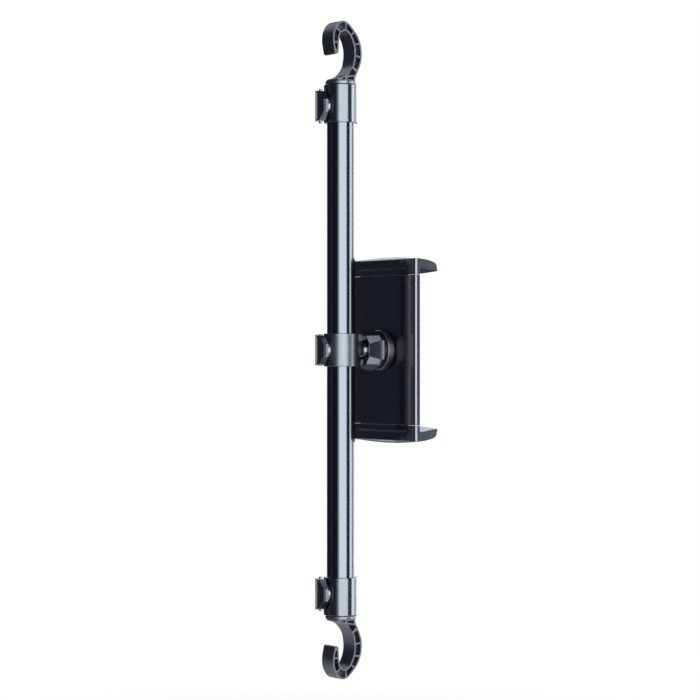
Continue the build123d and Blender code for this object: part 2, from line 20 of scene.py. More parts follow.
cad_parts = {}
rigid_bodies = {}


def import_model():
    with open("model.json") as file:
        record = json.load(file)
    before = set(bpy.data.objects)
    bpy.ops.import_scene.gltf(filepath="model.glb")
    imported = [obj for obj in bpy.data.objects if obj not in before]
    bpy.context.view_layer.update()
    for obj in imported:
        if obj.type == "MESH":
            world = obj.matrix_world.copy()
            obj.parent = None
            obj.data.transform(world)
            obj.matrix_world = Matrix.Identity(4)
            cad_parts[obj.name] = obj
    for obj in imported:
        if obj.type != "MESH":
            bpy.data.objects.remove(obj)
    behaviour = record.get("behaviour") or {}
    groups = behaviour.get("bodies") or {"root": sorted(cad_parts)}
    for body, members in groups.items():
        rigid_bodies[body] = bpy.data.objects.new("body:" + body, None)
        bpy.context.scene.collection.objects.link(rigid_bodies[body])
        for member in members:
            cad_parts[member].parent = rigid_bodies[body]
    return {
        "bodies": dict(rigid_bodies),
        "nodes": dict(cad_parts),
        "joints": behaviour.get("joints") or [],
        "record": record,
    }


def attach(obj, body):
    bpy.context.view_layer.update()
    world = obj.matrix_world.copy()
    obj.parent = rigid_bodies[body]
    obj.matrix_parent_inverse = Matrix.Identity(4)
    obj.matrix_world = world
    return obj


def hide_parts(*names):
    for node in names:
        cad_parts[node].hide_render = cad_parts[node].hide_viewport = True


log = logging.getLogger("tablet_mount")

MM = 0.001
COAT_ROUGHNESS = 0.08
# Share by which smudges raise and lower a finish's roughness
SMUDGE = 0.02

Point = tuple[float, float]


class Slot(str, Enum):
    """Material slots of the part's record."""

    TUBE = "tube_black"
    INNER_TUBE = "inner_tube_steel"
    PLASTIC = "black_plastic"
    GLOSS = "black_gloss"
    RUBBER = "rubber_black"
    LINER = "liner_grey"
    BRASS = "brass_insert"
    ZINC = "zinc_screw"


@dataclass(frozen=True)
class Finish:
    """How one kind of surface looks.

    Attributes:
        color: Linear base colour.
        roughness: Mean roughness.
        metallic: 1 for bare or anodised metal, 0 for plastic and rubber.
        specular: Strength of the plain reflection, where 0.5 is ordinary plastic.
        coat: Weight of a clear polished layer.
        ior: Index of refraction, higher for a stronger reflection.
        grain: Height of the fine grain, in millimetres.
        grain_size: Size of one grain, in millimetres.
        streaks: How far the grain is drawn out along Z, as on a drawn tube.
    """

    color: tuple[float, float, float]
    roughness: float
    metallic: float = 0.0
    specular: float = 0.5
    coat: float = 0.0
    ior: float = 1.5
    grain: float = 0.0
    grain_size: float = 0.5
    streaks: float = 1.0


FINISHES: dict[Slot, Finish] = {
    Slot.TUBE: Finish((0.118, 0.12, 0.126), 0.15, metallic=1.0),
    Slot.INNER_TUBE: Finish(
        (0.56, 0.57, 0.6), 0.24, metallic=1.0, grain=0.001, grain_size=0.4, streaks=60.0
    ),
    Slot.PLASTIC: Finish((0.004, 0.0046, 0.0062), 0.34, specular=1.0, ior=1.68, grain=0.004, grain_size=0.5),
    Slot.GLOSS: Finish((0.0032, 0.0038, 0.0056), 0.2, specular=1.0, coat=0.9),
    Slot.RUBBER: Finish((0.006, 0.0062, 0.0068), 0.62, specular=0.35, grain=0.03, grain_size=0.6),
    Slot.LINER: Finish((0.12, 0.12, 0.125), 0.45, grain=0.005, grain_size=0.8),
    Slot.BRASS: Finish((0.62, 0.44, 0.2), 0.28, metallic=1.0),
    Slot.ZINC: Finish((0.55, 0.56, 0.6), 0.3, metallic=1.0, grain=0.003, grain_size=0.4),
}


def new_node(
    tree: bpy.types.NodeTree,
    kind: str,
    inputs: dict[str | int, object] | None = None,
    **settings: object,
) -> bpy.types.Node:
    """Adds a node to the tree.

    Args:
        tree: The material's, world's or group's node tree.
        kind: The node's type.
        inputs: Value of each input that isn't left as it comes.
        settings: The node's other settings.

    Returns:
        The new node.
    """
    node = tree.nodes.new(kind)
    for name, value in settings.items():
        setattr(node, name, value)
    for socket, value in (inputs or {}).items():
        node.inputs[socket].default_value = value
    return node


def wire(tree: bpy.types.NodeTree, *links: tuple[bpy.types.NodeSocket, bpy.types.NodeSocket]) -> None:
    """Joins each pair of an output and an input."""
    for output, socket in links:
        tree.links.new(output, socket)


def show(name: str, data: bpy.types.ID) -> bpy.types.Object:
    """Puts data in the scene.

    Args:
        name: The new object's name.
        data: Its mesh, lamp or camera.

    Returns:
        The new object.
    """
    obj = bpy.data.objects.new(name, data)
    bpy.context.scene.collection.objects.link(obj)
    return obj


class Surfaces:
    """The materials, one for each slot of the record."""

    def __init__(self, finishes: dict[Slot, Finish]) -> None:
        """Builds a material for each finish."""
        self.variation = self._variation_group()
        self.materials = {slot: self._material(slot, finish) for slot, finish in finishes.items()}

    def __getitem__(self, slot: Slot) -> bpy.types.Material:
        """The material of a slot."""
        return self.materials[slot]

    @staticmethod
    def _variation_group() -> bpy.types.NodeTree:
        """Builds a group that turns a point and a grain size into a height and a smudge value.

        Returns:
            The group's node tree.
        """
        tree = bpy.data.node_groups.new("Surface variation", "ShaderNodeTree")
        sides = {"Grain size": "INPUT", "Streaks": "INPUT", "Height": "OUTPUT", "Smudge": "OUTPUT"}
        for name, side in sides.items():
            tree.interface.new_socket(name, in_out=side, socket_type="NodeSocketFloat")
        start = new_node(tree, "NodeGroupInput")
        end = new_node(tree, "NodeGroupOutput")
        place = new_node(tree, "ShaderNodeTexCoord")
        stretch = new_node(tree, "ShaderNodeCombineXYZ", {"X": 1.0, "Y": 1.0})
        shorten = new_node(tree, "ShaderNodeMath", {0: 1.0}, operation="DIVIDE")
        drawn = new_node(tree, "ShaderNodeVectorMath", operation="MULTIPLY")
        scale = new_node(tree, "ShaderNodeMath", {0: 1.0 / MM}, operation="DIVIDE")
        grain = new_node(tree, "ShaderNodeTexNoise", {"Detail": 2.0})
        smudge = new_node(tree, "ShaderNodeTexNoise", {"Scale": 38.0, "Detail": 4.0})
        wire(
            tree,
            (start.outputs["Streaks"], shorten.inputs[1]),
            (shorten.outputs[0], stretch.inputs["Z"]),
            (place.outputs["Object"], drawn.inputs[0]),
            (stretch.outputs[0], drawn.inputs[1]),
            (start.outputs["Grain size"], scale.inputs[1]),
            (drawn.outputs[0], grain.inputs["Vector"]),
            (scale.outputs[0], grain.inputs["Scale"]),
            (place.outputs["Object"], smudge.inputs["Vector"]),
            (grain.outputs["Fac"], end.inputs["Height"]),
            (smudge.outputs["Fac"], end.inputs["Smudge"]),
        )
        return tree

    def _material(self, slot: Slot, finish: Finish) -> bpy.types.Material:
        """Builds the material of one slot.

        Args:
            slot: The record's slot that it is for.
            finish: The surface's looks.

        Returns:
            The new material.
        """
        material = bpy.data.materials.new(slot.value)
        material.use_nodes = True
        tree = material.node_tree
        shader = tree.nodes["Principled BSDF"]
        for socket, value in {
            "Base Color": (*finish.color, 1.0),
            "Metallic": finish.metallic,
            "Specular IOR Level": finish.specular,
            "IOR": finish.ior,
            "Coat Weight": finish.coat,
            "Coat Roughness": COAT_ROUGHNESS,
        }.items():
            shader.inputs[socket].default_value = value
        values = {"Grain size": finish.grain_size, "Streaks": finish.streaks}
        vary = new_node(tree, "ShaderNodeGroup", values, node_tree=self.variation)
        span = {
            "From Min": 0.3,
            "From Max": 0.7,
            "To Min": finish.roughness * (1 - SMUDGE),
            "To Max": finish.roughness * (1 + SMUDGE),
        }
        rough = new_node(tree, "ShaderNodeMapRange", span)
        wire(
            tree,
            (vary.outputs["Smudge"], rough.inputs["Value"]),
            (rough.outputs["Result"], shader.inputs["Roughness"]),
        )
        if finish.grain:
            bump = new_node(tree, "ShaderNodeBump", {"Strength": 1.0, "Distance": finish.grain * MM})
            wire(
                tree,
                (vary.outputs["Height"], bump.inputs["Height"]),
                (bump.outputs["Normal"], shader.inputs["Normal"]),
            )
        return material


# Degrees over which an edge stays sharp
SHARP = 35.0
# Millimetres within which two points are one
SAME_POINT = 1e-5
# Degrees of bend under which a corner is left as it is
STRAIGHT = 12.0
# Most of a side that one corner's arc may take
CORNER_SHARE = 0.45
# Faces in the arc of a rounded rim
RIM_STEPS = 3
UPRIGHT = Matrix.Identity(4)
# Columns are where a drawing's own x, y and z go
ACROSS = Matrix(((0, 0, 1, 0), (1, 0, 0, 0), (0, 1, 0, 0), (0, 0, 0, 1)))
TO_TABLET = Matrix(((1, 0, 0, 0), (0, 0, -1, 0), (0, 1, 0, 0), (0, 0, 0, 1)))
UPSIDE_DOWN = Matrix.Diagonal((1.0, 1.0, -1.0, 1.0))


def rounded(outline: Sequence[Point], radius: float, steps: int = 4) -> list[Point]:
    """Rounds the corners of a closed outline.

    Args:
        outline: Corners, in order.
        radius: Corner radius, made smaller where a side is short.
        steps: Pieces in each corner's arc.

    Returns:
        The outline with an arc for each corner.
    """
    result: list[Point] = []
    for index, corner in enumerate(outline):
        here = Vector(corner)
        back = Vector(outline[index - 1]) - here
        ahead = Vector(outline[(index + 1) % len(outline)]) - here
        if min(back.length, ahead.length) < SAME_POINT:
            continue
        bend = math.pi - back.angle(ahead)
        if bend < math.radians(STRAIGHT):
            result.append((here.x, here.y))
            continue
        cut = min(radius * math.tan(bend / 2), CORNER_SHARE * min(back.length, ahead.length))
        start = here + back.normalized() * cut
        end = here + ahead.normalized() * cut
        for step in range(steps + 1):
            share = step / steps
            point = start * (1 - share) ** 2 + here * 2 * share * (1 - share) + end * share**2
            result.append((point.x, point.y))
    return result


def smooth_line(points: Sequence[Point], steps: int = 8) -> list[Point]:
    """Draws a smooth open line through the points, by Catmull-Rom arcs.

    Args:
        points: Points of the line, in order.
        steps: Pieces between one point and the next.

    Returns:
        The line's points.
    """
    ends = [Vector(p) for p in points]
    ends = [2 * ends[0] - ends[1], *ends, 2 * ends[-1] - ends[-2]]
    line: list[Point] = []
    for a, b, c, d in zip(ends, ends[1:], ends[2:], ends[3:]):
        for step in range(steps):
            t = step / steps
            bow = (2 * a - 5 * b + 4 * c - d) * t**2
            p = 0.5 * (2 * b + (c - a) * t + bow + (3 * b - a - 3 * c + d) * t**3)
            line.append((p.x, p.y))
    line.append((ends[-2].x, ends[-2].y))
    return line


def oblong(left: float, right: float, low: float, high: float) -> list[Point]:
    """The four corners of an oblong."""
    return [(left, low), (right, low), (right, high), (left, high)]


def ramp(value: float, start: float, end: float) -> float:
    """How far value is from start to end, held between 0 and 1."""
    return max(0.0, min(1.0, (value - start) / (end - start)))


class Shape:
    """A mesh being built by operators, in millimetres."""

    def __init__(self) -> None:
        """Starts an empty shape."""
        self.bm = bmesh.new()

    @staticmethod
    def _ring(mesh: bmesh.types.BMesh, points: Iterable[Vector]) -> list[bmesh.types.BMEdge]:
        """Adds a closed loop of edges through the points."""
        verts = [mesh.verts.new(point) for point in points]
        return [mesh.edges.new(pair) for pair in zip(verts, verts[1:] + verts[:1])]

    def _take(self, part: bmesh.types.BMesh, place: Matrix = UPRIGHT) -> Shape:
        """Moves the finished part to its place and adds it to this shape.

        Args:
            part: The part, which is used up.
            place: Where the drawing's axes go.

        Returns:
            This shape.
        """
        bmesh.ops.transform(part, matrix=place, verts=part.verts)
        mesh = bpy.data.meshes.new("Part")
        part.to_mesh(mesh)
        part.free()
        self.bm.from_mesh(mesh)
        bpy.data.meshes.remove(mesh)
        return self

    @staticmethod
    def _round_rims(part: bmesh.types.BMesh, rims: list[bmesh.types.BMEdge], edge: float) -> None:
        """Rounds the rims, unless edge is 0.

        Args:
            part: The rims' mesh.
            rims: Their edges.
            edge: Radius of the rounding.
        """
        if edge:
            bmesh.ops.bevel(
                part,
                geom=rims,
                offset=edge,
                offset_type="OFFSET",
                segments=RIM_STEPS,
                profile=0.5,
                affect="EDGES",
                clamp_overlap=True,
                material=-1,
            )

    def lathe(self, profile: Sequence[Point], place: Matrix = UPRIGHT, segments: int = 128) -> Shape:
        """Spins a closed profile of (radius, height) points about the drawing's z.

        Args:
            profile: The profile, in order.
            place: Where the drawing's axes go.
            segments: Steps round the axis.

        Returns:
            This shape.
        """
        part = bmesh.new()
        verts = [part.verts.new((radius, 0.0, height)) for radius, height in profile]
        for vert, following in zip(verts, verts[1:] + verts[:1]):
            if max(vert.co.x, following.co.x) > 0:
                part.edges.new((vert, following))
        bmesh.ops.spin(
            part,
            geom=[*part.verts, *part.edges],
            cent=(0.0, 0.0, 0.0),
            axis=(0.0, 0.0, 1.0),
            angle=math.tau,
            steps=segments,
            use_merge=True,
        )
        bmesh.ops.remove_doubles(part, verts=part.verts, dist=SAME_POINT)
        return self._take(part, place)

    def prism(
        self,
        outline: Sequence[Point],
        low: float,
        high: float,
        place: Matrix = UPRIGHT,
        edge: float = 0.0,
        holes: Iterable[Sequence[Point]] = (),
    ) -> Shape:
        """Extrudes a closed outline along the drawing's z, with its rims rounded.

        Args:
            outline: The outer outline, in order.
            low: Where it starts along z.
            high: Where it ends along z.
            place: Where the drawing's axes go.
            edge: Radius of the rims.
            holes: Outlines of the holes through it.

        Returns:
            This shape.
        """
        part = bmesh.new()
        rims = []
        for line in (outline, *holes):
            rims += self._ring(part, (Vector((x, y, low)) for x, y in line))
        bmesh.ops.triangle_fill(part, use_beauty=True, use_dissolve=False, edges=rims)
        grown = bmesh.ops.extrude_face_region(part, geom=part.faces[:])["geom"]
        moved = [item for item in grown if isinstance(item, bmesh.types.BMVert)]
        bmesh.ops.translate(part, verts=moved, vec=(0.0, 0.0, high - low))
        bmesh.ops.recalc_face_normals(part, faces=part.faces)
        across = [item for item in part.edges if abs(item.verts[0].co.z - item.verts[1].co.z) < SAME_POINT]
        self._round_rims(part, [item for item in across if item.calc_face_angle() > 1.0], edge)
        return self._take(part, place)

    def loft(self, sections: Sequence[Sequence[Vector]], edge: float = 0.0, capped: bool = True) -> Shape:
        """Bridges closed loops of equal length one after the other.

        Args:
            sections: The loops, in order.
            edge: Radius of the rims of the two ends.
            capped: Whether the two ends are closed.

        Returns:
            This shape.
        """
        part = bmesh.new()
        rings = [self._ring(part, section) for section in sections]
        for ring, following in zip(rings, rings[1:]):
            bmesh.ops.bridge_loops(part, edges=[*ring, *following])
        if capped:
            rims = [*rings[0], *rings[-1]]
            bmesh.ops.edgeloop_fill(part, edges=rims)
            self._round_rims(part, rims, edge)
        return self._take(part)

    def cut(self, point: Vector, normal: Vector) -> None:
        """Cuts away what lies beyond a plane, and closes the cut.

        Args:
            point: A point of the plane.
            normal: The way to what is cut away.
        """
        made = bmesh.ops.bisect_plane(
            self.bm,
            geom=[*self.bm.verts, *self.bm.edges, *self.bm.faces],
            plane_co=point,
            plane_no=normal,
            clear_outer=True,
        )
        rim = [item for item in made["geom_cut"] if isinstance(item, bmesh.types.BMEdge)]
        if rim:
            bmesh.ops.contextual_create(self.bm, geom=rim)
        self.bm.normal_update()

    def mirrored(self) -> Shape:
        """Copies the shape, turned end for end about the middle of the rod.

        Returns:
            The new shape.
        """
        twin = Shape()
        twin.bm.free()
        twin.bm = self.bm.copy()
        bmesh.ops.transform(twin.bm, matrix=UPSIDE_DOWN, verts=twin.bm.verts)
        return twin

    def piece(self, name: str, material: bpy.types.Material, sharp: float = SHARP) -> bpy.types.Object:
        """Ends the shape as a smooth-shaded object.

        Args:
            name: The object's name.
            material: Its material.
            sharp: Angle over which an edge stays sharp, in degrees.

        Returns:
            The new object, at the origin.
        """
        bmesh.ops.recalc_face_normals(self.bm, faces=self.bm.faces)
        for face in self.bm.faces:
            face.smooth = True
        mesh = bpy.data.meshes.new(name)
        self.bm.to_mesh(mesh)
        self.bm.free()
        mesh.transform(Matrix.Scale(MM, 4))
        mesh.set_sharp_from_angle(angle=math.radians(sharp))
        mesh.materials.append(material)
        obj = show(name, mesh)
        even = obj.modifiers.new("Even shading", "WEIGHTED_NORMAL")
        even.keep_sharp = True
        log.info("piece %s: %d faces", name, len(mesh.polygons))
        return obj


def settle(obj: bpy.types.Object, body: str, slot: Slot, *nodes: str) -> None:
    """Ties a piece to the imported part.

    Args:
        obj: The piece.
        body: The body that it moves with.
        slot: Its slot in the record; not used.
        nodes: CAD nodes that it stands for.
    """
    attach(obj, body)
    if nodes:
        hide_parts(*nodes)


def carve(obj: bpy.types.Object, cutter: bpy.types.Object, sharp: float = SHARP) -> None:
    """Cuts one object out of another.

    Args:
        obj: The object.
        cutter: What is cut away, which is used up.
        sharp: Angle over which an edge stays sharp, in degrees.
    """
    cut = obj.modifiers.new("Cut", "BOOLEAN")
    cut.operation = "DIFFERENCE"
    cut.solver = "EXACT"
    cut.object = cutter
    seen = obj.evaluated_get(bpy.context.evaluated_depsgraph_get())
    mesh = bpy.data.meshes.new_from_object(seen)
    obj.modifiers.remove(cut)
    old = obj.data
    obj.data = mesh
    mesh.name = old.name
    mesh.set_sharp_from_angle(angle=math.radians(sharp))
    bpy.data.meshes.remove(old)
    bpy.data.objects.remove(cutter)


def soften(
    obj: bpy.types.Object,
    width: float,
    segments: int = 3,
    angle: float = 32.0,
    harden: bool = True,
) -> None:
    """Rounds an object's sharp edges.

    Args:
        obj: The object.
        width: Width of the rounding, in millimetres.
        segments: Faces in the rounding's arc.
        angle: Degrees over which an edge is rounded.
        harden: Whether the faces beside the rounding are shaded flat.
    """
    bevel = obj.modifiers.new("Soft edges", "BEVEL")
    bevel.width = width * MM
    bevel.segments = segments
    bevel.limit_method = "ANGLE"
    bevel.angle_limit = math.radians(angle)
    bevel.harden_normals = harden


ENDS = ("upper", "lower")
# Height of an end collar's clamp, and degrees that every clamp is turned from +Y towards +X
CLAMP_Z = 224.6
CLAMP_CLOCK = 18.0


def at_end(shape: Shape, end: str) -> Shape:
    """The shape as built for the upper end, or its mirrored twin for the lower one."""
    return shape if end == "upper" else shape.mirrored()


@dataclass(frozen=True)
class Rod:
    """The outer tube and the two inner tubes that telescope out of it."""

    outer_r: float = 13.0
    outer_bore: float = 11.5
    half: float = 236.4
    inner_r: float = 11.0
    inner_bore: float = 9.7
    inner_base: float = 30.9
    inner_top: float = 244.9
    outer_rim: float = 0.4
    inner_rim: float = 0.3

    def build(self, surfaces: Surfaces) -> None:
        """Adds the three tubes.

        Args:
            surfaces: The materials.
        """
        wall = oblong(self.outer_bore, self.outer_r, -self.half, self.half)
        outer = Shape().lathe(rounded(wall, self.outer_rim), segments=192)
        settle(outer.piece("Outer_tube", surfaces[Slot.TUBE]), "rod", Slot.TUBE, "outer_tube")
        wall = oblong(self.inner_bore, self.inner_r, self.inner_base, self.inner_top)
        for end in ENDS:
            inner = at_end(Shape().lathe(rounded(wall, self.inner_rim), segments=160), end)
            obj = inner.piece(f"{end.capitalize()}_inner_tube", surfaces[Slot.INNER_TUBE])
            settle(obj, f"{end}_hook_arm", Slot.INNER_TUBE, f"{end}_inner_tube")


def clamp_place(height: float) -> Matrix:
    """Works out where a clamp's drawing goes.

    Args:
        height: The clamp's height over the middle of the rod.

    Returns:
        Its y along the rod and its z away from the rod.
    """
    turn = math.radians(CLAMP_CLOCK)
    return Matrix(
        (
            (-math.cos(turn), 0.0, math.sin(turn), 0.0),
            (math.sin(turn), 0.0, math.cos(turn), 0.0),
            (0.0, 1.0, 0.0, height),
            (0.0, 0.0, 0.0, 1.0),
        )
    )


@dataclass(frozen=True)
class Collars:
    """The two end collars and the sliding middle collar, each with a boss for its clamp."""

    radius: float = 16.0
    edge: float = 0.6
    end_base: float = 209.4
    end_top: float = 244.4
    tube_end: float = 236.4
    tube_r: float = 13.0
    end_bore: float = 11.05
    mid_half: float = 15.2
    liner_half: float = 13.8
    liner_r: float = 14.3
    mid_bore: float = 13.3
    boss_r: float = 9.5
    boss_reach: float = 16.2
    insert_r: float = 4.25
    fillet: float = 0.7
    stud_pad_r: float = 8.5
    stud_pad_reach: float = 17.2
    neck_r: float = 4.75
    sink: float = 0.2
    hole_depth: float = 6.0
    rim: float = 0.28
    rim_bow: float = 0.08
    hole_rim: float = 0.25
    boss_steps: int = 96
    fillet_steps: int = 5

    def boss(self, shape: Shape, place: Matrix, radius: float, reach: float, hole: float) -> None:
        """Grows a round boss out of a sleeve, along the drawing's z.

        Args:
            shape: The sleeve's shape.
            place: Where the boss's drawing goes.
            radius: The boss's radius.
            reach: Its face's distance from the sleeve's axis.
            hole: Radius of the hole in its face.
        """
        flare = radius + self.fillet
        rings: list[tuple[float, float | None, float]] = [(flare + 1.5 * self.sink, None, -self.sink)]
        for step in range(self.fillet_steps + 1):
            turn = math.pi / 2 * step / self.fillet_steps
            rise = self.fillet * (1 - math.cos(turn))
            rings.append((flare - self.fillet * math.sin(turn), None, rise))
        rings += [
            (radius, reach - self.rim, 0.0),
            (radius - self.rim_bow, reach - self.rim_bow, 0.0),
            (radius - self.rim, reach, 0.0),
            (hole + self.hole_rim, reach, 0.0),
            (hole, reach - self.hole_rim, 0.0),
            (hole, reach - self.hole_depth, 0.0),
        ]
        rows = []
        for ring_r, level, lift in rings:
            row = []
            for step in range(self.boss_steps):
                turn = math.tau * step / self.boss_steps
                x, y = ring_r * math.cos(turn), ring_r * math.sin(turn)
                foot = math.sqrt(self.radius**2 - x**2) + lift
                height = foot if level is None else max(level, min(foot, reach))
                row.append(place @ Vector((x, y, height)))
            rows.append(row)
        shape.loft(rows, capped=False)

    def build(self, surfaces: Surfaces) -> None:
        """Adds the three collars.

        Args:
            surfaces: The materials.
        """
        sleeve = [
            (self.tube_r, self.end_base),
            (self.radius, self.end_base),
            (self.radius, self.end_top),
            (self.end_bore, self.end_top),
            (self.end_bore, self.tube_end),
            (self.tube_r, self.tube_end),
        ]
        for end in ENDS:
            shape = Shape().lathe(rounded(sleeve, self.edge), segments=160)
            self.boss(shape, clamp_place(CLAMP_Z), self.boss_r, self.boss_reach, self.insert_r)
            obj = at_end(shape, end).piece(f"{end.capitalize()}_collar", surfaces[Slot.GLOSS])
            settle(obj, "rod", Slot.GLOSS, f"{end}_collar")
        sleeve = [
            (self.mid_bore, -self.mid_half),
            (self.radius, -self.mid_half),
            (self.radius, self.mid_half),
            (self.mid_bore, self.mid_half),
            (self.mid_bore, self.liner_half),
            (self.liner_r, self.liner_half),
            (self.liner_r, -self.liner_half),
            (self.mid_bore, -self.liner_half),
        ]
        shape = Shape().lathe(rounded(sleeve, self.edge), segments=160)
        self.boss(shape, clamp_place(0.0), self.boss_r, self.boss_reach, self.insert_r)
        self.boss(shape, TO_TABLET, self.stud_pad_r, self.stud_pad_reach, self.neck_r)
        obj = shape.piece("Middle_collar", surfaces[Slot.PLASTIC])
        settle(obj, "slide_collar", Slot.PLASTIC, "middle_collar")


@dataclass(frozen=True)
class Hooks:
    """The two moulded hooks: an I-section with ribs across its pockets.

    Attributes:
        outer: Points down the back of the hook, from the foot over the crown to the tip, as
            (Y, height over the flange).
        tip: Points round the hook's tip.
        inner: Points down the throat, from the tip to the toe.
        foot: The foot's two corners, let into the flange.
        ribs: Each rib's two ends, on the back and in the throat.
    """

    width: float = 18.0
    web: float = 2.4
    rim: float = 1.6
    rib: float = 1.5
    edge: float = 0.35
    flange_base: float = 244.9
    flange_top: float = 247.7
    flange_r: float = 14.4
    flange_rim: float = 0.5
    plug_bore: float = 7.5
    plug_r: float = 9.6
    plug_base: float = 222.9
    plug_top: float = 245.2
    plug_rim: float = 0.4
    pocket_corner: float = 0.5
    web_overlap: float = 1.12
    line_steps: int = 12
    cell_steps: int = 8
    outer: tuple[Point, ...] = (
        (-9.6, 0.0), (-10.3, 4.6), (-14.0, 11.9), (-16.9, 20.5), (-17.0, 29.6), (-15.2, 36.9),
        (-12.0, 43.3), (-7.3, 48.6), (-2.4, 53.2), (3.2, 55.4), (8.4, 53.6), (12.0, 49.6),
        (14.6, 43.8), (15.1, 36.6), (14.2, 31.0), (13.4, 27.0),
    )
    tip: tuple[Point, ...] = ((13.0, 25.4), (12.2, 24.6), (11.0, 24.3), (9.9, 24.7), (9.1, 25.6))
    inner: tuple[Point, ...] = (
        (8.9, 27.0), (8.6, 33.0), (7.9, 39.4), (6.2, 43.8), (1.7, 45.9), (-2.6, 44.0), (-6.0, 38.9),
        (-8.1, 33.2), (-8.9, 27.4), (-8.3, 19.8), (-6.0, 12.6), (0.6, 5.4), (8.8, 2.4), (10.2, 1.4),
    )
    foot: tuple[Point, Point] = ((10.2, -0.6), (-9.6, -0.6))
    ribs: tuple[tuple[Point, Point], ...] = (
        ((13.4, 28.0), (8.9, 28.0)), ((15.1, 35.2), (8.4, 35.2)), ((12.8, 48.9), (5.9, 44.6)),
        ((0.4, 55.0), (0.4, 45.7)), ((-9.8, 46.3), (-4.2, 42.3)), ((-15.6, 35.2), (-7.7, 34.0)),
        ((-17.2, 22.3), (-8.6, 24.2)), ((-12.9, 9.5), (-6.3, 13.5)),
    )
    foot_pockets: tuple[tuple[Point, ...], ...] = (
        ((-11.2, 7.8), (-8.2, 6.0), (-1.2, 5.0), (-5.2, 10.6), (-6.6, 12.0)),
        ((-8.0, 1.6), (-0.1, 1.6), (-0.1, 3.2), (-8.0, 4.8)),
        ((1.5, 1.4), (6.0, 1.4), (1.5, 3.5)),
    )

    def _stretch(self, line: Sequence[Point], start: Point, end: Point) -> list[Vector]:
        """Takes the stretch of a line between its points nearest to start and end.

        Args:
            line: Points of the line, in order.
            start: Where the stretch starts.
            end: Where it ends.

        Returns:
            Evenly spaced points, one more than line_steps.
        """
        spots = [Vector(p) for p in line]
        near = [min(range(len(spots)), key=lambda i: (spots[i] - Vector(p)).length) for p in (start, end)]
        low, high = sorted(near)
        part = spots[low : high + 1]
        if near[0] > near[1]:
            part.reverse()
        last = len(part) - 1
        return [part[round(step * last / self.line_steps)] for step in range(self.line_steps + 1)]

    def _pocket(self, backs: Sequence[Vector], throats: Sequence[Vector], share: float) -> list[Point]:
        """The outline of one pocket.

        Args:
            backs: Points along the hook's back, from one rib to the next.
            throats: The points opposite them in the throat.
            share: Part of the way that half a rib takes at each end.

        Returns:
            The pocket's outline.
        """
        back_side = []
        throat_side = []
        for step in range(self.cell_steps + 1):
            place = (share + (1 - 2 * share) * step / self.cell_steps) * self.line_steps
            low = min(int(place), self.line_steps - 1)
            back = backs[low].lerp(backs[low + 1], place - low)
            throat = throats[low].lerp(throats[low + 1], place - low)
            inward = (throat - back).normalized() * self.rim
            back_side.append(tuple(back + inward))
            throat_side.append(tuple(throat - inward))
        return back_side + throat_side[::-1]

    def pockets(self) -> list[list[Point]]:
        """Draws the pockets between the ribs, and those in the foot.

        Returns:
            Each pocket's outline.
        """
        outer = smooth_line(self.outer, 24)
        inner = smooth_line(self.inner, 24)
        result = []
        for rib, following in zip(self.ribs, self.ribs[1:]):
            middles = [(Vector(back) + Vector(throat)) / 2 for back, throat in (rib, following)]
            share = self.rib / 2 / (middles[0] - middles[1]).length
            backs = self._stretch(outer, rib[0], following[0])
            throats = self._stretch(inner, rib[1], following[1])
            result.append(self._pocket(backs, throats, share))
        return result + [list(pocket) for pocket in self.foot_pockets]

    def _raised(self, line: Sequence[Point]) -> list[Point]:
        """A line's points at their real height."""
        return [(y, rise + self.flange_top) for y, rise in line]

    def build(self, surfaces: Surfaces) -> None:
        """Adds the two hooks.

        Args:
            surfaces: The materials.
        """
        outline = [*smooth_line(self.outer, 6), *self.tip, *smooth_line(self.inner, 6), *self.foot]
        holes = [rounded(pocket, self.pocket_corner, 3) for pocket in self.pockets()]
        disc = oblong(0.0, self.flange_r, self.flange_base, self.flange_top)
        disc = [disc[0], *rounded(disc, self.flange_rim)[5:15], disc[3]]
        plug = oblong(self.plug_bore, self.plug_r, self.plug_base, self.plug_top)
        for end in ENDS:
            shape = Shape()
            raised = [self._raised(hole) for hole in holes]
            half = self.width / 2
            shape.prism(self._raised(outline), -half, half, ACROSS, self.edge, raised)
            for hole in raised:
                middle = sum((Vector(p) for p in hole), Vector((0.0, 0.0))) / len(hole)
                grown = [tuple(middle + (Vector(p) - middle) * self.web_overlap) for p in hole]
                shape.prism(grown, -self.web / 2, self.web / 2, ACROSS)
            shape.lathe(disc, segments=128)
            shape.lathe(rounded(plug, self.plug_rim), segments=96)
            obj = at_end(shape, end).piece(f"{end.capitalize()}_hook", surfaces[Slot.PLASTIC])
            settle(obj, f"{end}_hook_arm", Slot.PLASTIC, f"{end}_hook")


